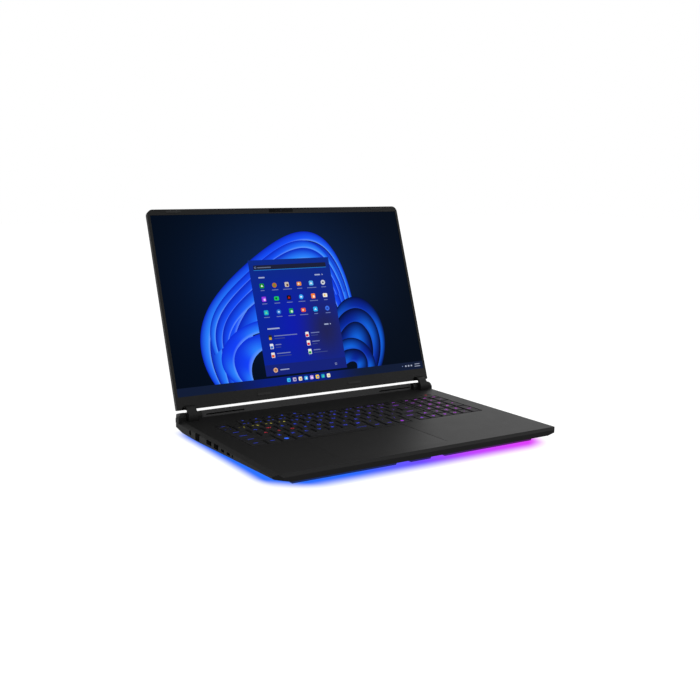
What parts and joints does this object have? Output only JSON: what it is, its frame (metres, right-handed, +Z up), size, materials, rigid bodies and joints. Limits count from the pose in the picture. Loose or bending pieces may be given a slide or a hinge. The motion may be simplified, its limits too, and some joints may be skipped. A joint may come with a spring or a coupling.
{
  "type": "laptop computer",
  "caption": "Large gaming laptop with lid open: wide display, full-size lit keyboard with number pad, touchpad, side ports and lit lower edge.",
  "frame": {"origin": "centre of the bounding box in plan, with the lid open as drawn, at the underside of the feet", "axes": "+X to the typist's right along the hinge, +Y away from the typist, +Z up"},
  "size_m": [0.399, 0.3704, 0.2873],
  "materials": {
    "shell": "soft-touch black, fine grain",
    "rear_shell": "matte black",
    "underside": "matte black, moulded texture",
    "light_front": "lit diffuser",
    "light_side": "lit diffuser",
    "rubber": "matte",
    "screw_steel": "black oxide",
    "plate_steel": "pressed sheet",
    "silicone": "translucent silicone",
    "board": "solder mask",
    "chip": "moulded package",
    "copper": "copper, satin",
    "fins": "thin stamped fins",
    "fan_plastic": "moulded",
    "battery": "wrapped cells",
    "speaker": "moulded box",
    "touch_surface": "etched, satin",
    "socket_metal": "nickel plated",
    "socket_plastic": "moulded",
    "hinge_steel": "hardened",
    "knuckle": "matte black",
    "lid_metal": "dark anodised, fine brushed",
    "bezel": "matte black",
    "screen": "lit display behind a matte film",
    "camera_glass": "polished",
    "antenna_foil": "foil",
    "key_cap": "matte coat with lit legends"
  },
  "bodies": {
    "base": {"top_case": "shell", "rear_cover": "rear_shell", "bottom_cover": "underside", "light_bar_front": "light_front", "light_bar_sides": "light_side", "front_feet": "rubber", "rear_feet": "rubber", "bottom_screws": "screw_steel", "keyboard_plate": "plate_steel", "key_domes": "silicone", "mainboard": "board", "processor_chips": "chip", "heat_spreader": "copper", "heat_pipes": "copper", "heatsink_fins": "fins", "fan_housing_left": "fan_plastic", "fan_housing_right": "fan_plastic", "battery_pack": "battery", "ssd_modules": "board", "memory_modules": "chip", "wifi_card": "board", "speakers": "speaker", "touchpad_frame": "plate_steel", "dc_socket": "socket_plastic", "lan_socket": "socket_plastic", "hdmi_socket": "socket_metal", "usb_a_socket_left": "socket_metal", "usb_c_sockets": "socket_metal", "audio_jack": "socket_plastic", "usb_a_sockets_right": "socket_metal", "hinge_bracket_left": "hinge_steel", "hinge_bracket_right": "hinge_steel"},
    "lid": {"lid_cover": "lid_metal", "bezel_frame": "bezel", "display_panel": "screen", "camera_module": "socket_plastic", "camera_window": "camera_glass", "lid_bumpers": "rubber", "antennas": "antenna_foil", "hinge_pin_left": "hinge_steel", "hinge_pin_right": "hinge_steel", "hinge_arm_left": "hinge_steel", "hinge_arm_right": "hinge_steel", "hinge_knuckle_left": "knuckle", "hinge_knuckle_right": "knuckle"},
    "touchpad": {"touchpad": "touch_surface"},
    "fan_left": {"fan_rotor_left": "fan_plastic"},
    "fan_right": {"fan_rotor_right": "fan_plastic"},
    "hot_keys": {"hot_keys": "key_cap"},
    "function_row": {"function_row": "key_cap"},
    "power_button": {"power_button": "key_cap"},
    "number_row": {"number_row": "key_cap"},
    "upper_letter_row": {"upper_letter_row": "key_cap"},
    "home_letter_row": {"home_letter_row": "key_cap"},
    "lower_letter_row": {"lower_letter_row": "key_cap"},
    "modifier_keys": {"modifier_keys": "key_cap"},
    "space_bar": {"space_bar": "key_cap"},
    "arrow_keys": {"arrow_keys": "key_cap"},
    "numpad_keys": {"numpad_keys": "key_cap"}
  },
  "joints": [
    {"name": "lid_hinge", "type": "hinge", "parent": "base", "child": "lid", "pos_m": [0, 0.09027, 0.02693], "axis": [-1, 0, 0], "range_deg": [-109.4, 20]},
    {"name": "fan_spin_left", "type": "hinge", "parent": "base", "child": "fan_left", "pos_m": [-0.138, 0.00327, 0.0095], "axis": [0, 0, 1], "continuous": true},
    {"name": "fan_spin_right", "type": "hinge", "parent": "base", "child": "fan_right", "pos_m": [0.138, 0.00327, 0.0095], "axis": [0, 0, 1], "continuous": true},
    {"name": "touchpad_click", "type": "slide", "parent": "base", "child": "touchpad", "axis": [0, 0, -1], "range_m": [0, 0.0004], "stiffness_N_per_m": 3000, "springref_m": -0.0005},
    {"name": "hot_keys_press", "type": "slide", "parent": "base", "child": "hot_keys", "axis": [0, 0, -1], "range_m": [0, 0.0017], "stiffness_N_per_m": 400, "springref_m": -0.0006},
    {"name": "function_row_press", "type": "slide", "parent": "base", "child": "function_row", "axis": [0, 0, -1], "range_m": [0, 0.0017], "stiffness_N_per_m": 400, "springref_m": -0.0006},
    {"name": "power_button_press", "type": "slide", "parent": "base", "child": "power_button", "axis": [0, 0, -1], "range_m": [0, 0.0017], "stiffness_N_per_m": 150, "springref_m": -0.0006},
    {"name": "number_row_press", "type": "slide", "parent": "base", "child": "number_row", "axis": [0, 0, -1], "range_m": [0, 0.0017], "stiffness_N_per_m": 400, "springref_m": -0.0006},
    {"name": "upper_letter_row_press", "type": "slide", "parent": "base", "child": "upper_letter_row", "axis": [0, 0, -1], "range_m": [0, 0.0017], "stiffness_N_per_m": 400, "springref_m": -0.0006},
    {"name": "home_letter_row_press", "type": "slide", "parent": "base", "child": "home_letter_row", "axis": [0, 0, -1], "range_m": [0, 0.0017], "stiffness_N_per_m": 400, "springref_m": -0.0006},
    {"name": "lower_letter_row_press", "type": "slide", "parent": "base", "child": "lower_letter_row", "axis": [0, 0, -1], "range_m": [0, 0.0017], "stiffness_N_per_m": 400, "springref_m": -0.0006},
    {"name": "modifier_keys_press", "type": "slide", "parent": "base", "child": "modifier_keys", "axis": [0, 0, -1], "range_m": [0, 0.0017], "stiffness_N_per_m": 400, "springref_m": -0.0006},
    {"name": "space_bar_press", "type": "slide", "parent": "base", "child": "space_bar", "axis": [0, 0, -1], "range_m": [0, 0.0017], "stiffness_N_per_m": 400, "springref_m": -0.0006},
    {"name": "arrow_keys_press", "type": "slide", "parent": "base", "child": "arrow_keys", "axis": [0, 0, -1], "range_m": [0, 0.0017], "stiffness_N_per_m": 400, "springref_m": -0.0006},
    {"name": "numpad_keys_press", "type": "slide", "parent": "base", "child": "numpad_keys", "axis": [0, 0, -1], "range_m": [0, 0.0017], "stiffness_N_per_m": 400, "springref_m": -0.0006}
  ]
}
